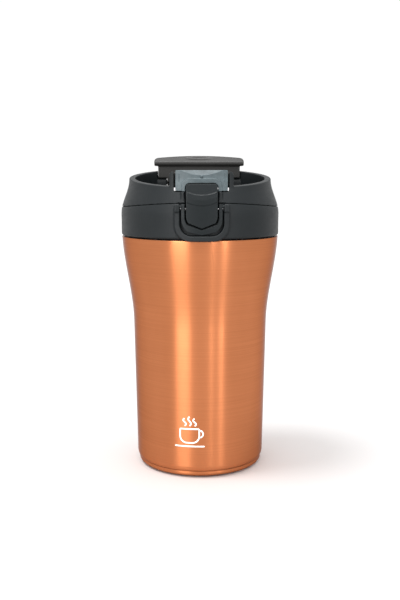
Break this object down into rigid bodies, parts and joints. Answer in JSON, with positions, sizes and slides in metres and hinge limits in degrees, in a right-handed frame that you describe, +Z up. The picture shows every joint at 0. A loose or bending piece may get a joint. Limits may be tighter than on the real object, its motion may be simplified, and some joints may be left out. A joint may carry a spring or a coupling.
{
  "type": "insulated travel tumbler with locking flip lid",
  "caption": "Double-wall steel tumbler with a flared body, screw-in lid, hinged flip cover over a drinking spout, push-button latch and swing-up lock ring.",
  "frame": {"origin": "centre of the base pad's underside, where the tumbler stands", "axes": "+Z up along the bottle's axis, -Y towards the push button, +Y towards the cover's hinge"},
  "size_m": [0.09, 0.0916, 0.1789],
  "materials": {
    "copper_coat": "brushed steel under a clear copper coat",
    "steel": "satin stainless steel",
    "dull_steel": "unpolished steel",
    "pin_steel": "bright steel wire and pins",
    "dark_silicone": "matt silicone",
    "clear_silicone": "translucent silicone",
    "black_plastic": "fine-textured black plastic",
    "well_plastic": "smooth black plastic",
    "button_plastic": "satin black plastic",
    "smoke_plastic": "smoke-grey translucent plastic, polished",
    "white_print": "thin white print on the copper coat"
  },
  "bodies": {
    "bottle": {"outer_shell": "copper_coat", "inner_liner": "steel", "outer_bottom": "copper_coat", "vacuum_getter": "dull_steel", "seal_cap": "dull_steel", "base_pad": "dark_silicone"},
    "gasket": {"lid_gasket": "clear_silicone"},
    "lid": {"lid_collar": "black_plastic", "lid_rim": "black_plastic", "lid_well": "well_plastic", "lid_plug": "well_plastic", "cover_hinge_pin": "pin_steel", "button_pin": "pin_steel", "button_spring": "pin_steel"},
    "cover": {"flip_cover": "black_plastic", "cover_tongue": "smoke_plastic", "stopper_holder": "well_plastic", "cover_stopper": "clear_silicone", "cover_spring": "pin_steel"},
    "button": {"push_button": "button_plastic"},
    "lock_ring": {"lock_ring": "button_plastic"}
  },
  "joints": [
    {"name": "lid_lift", "type": "slide", "parent": "bottle", "child": "gasket", "axis": [0, 0, 1], "range_m": [0, 0.06]},
    {"name": "lid_turn", "type": "hinge", "parent": "gasket", "child": "lid", "pos_m": [0, 0, 0.1336], "axis": [0, 0, 1], "range_deg": [0, 360]},
    {"name": "cover_flip", "type": "hinge", "parent": "lid", "child": "cover", "pos_m": [0, 0.03, 0.1632], "axis": [-1, 0, 0], "range_deg": [0, 90]},
    {"name": "button_press", "type": "hinge", "parent": "lid", "child": "button", "pos_m": [0, -0.0413, 0.1495], "axis": [1, 0, 0], "range_deg": [0, 5], "stiffness_Nm_per_rad": 0.05, "springref_deg": -9.74},
    {"name": "ring_swing", "type": "hinge", "parent": "lid", "child": "lock_ring", "pos_m": [0, -0.0442, 0.1509], "axis": [-1, 0, 0], "range_deg": [0, 166]}
  ]
}
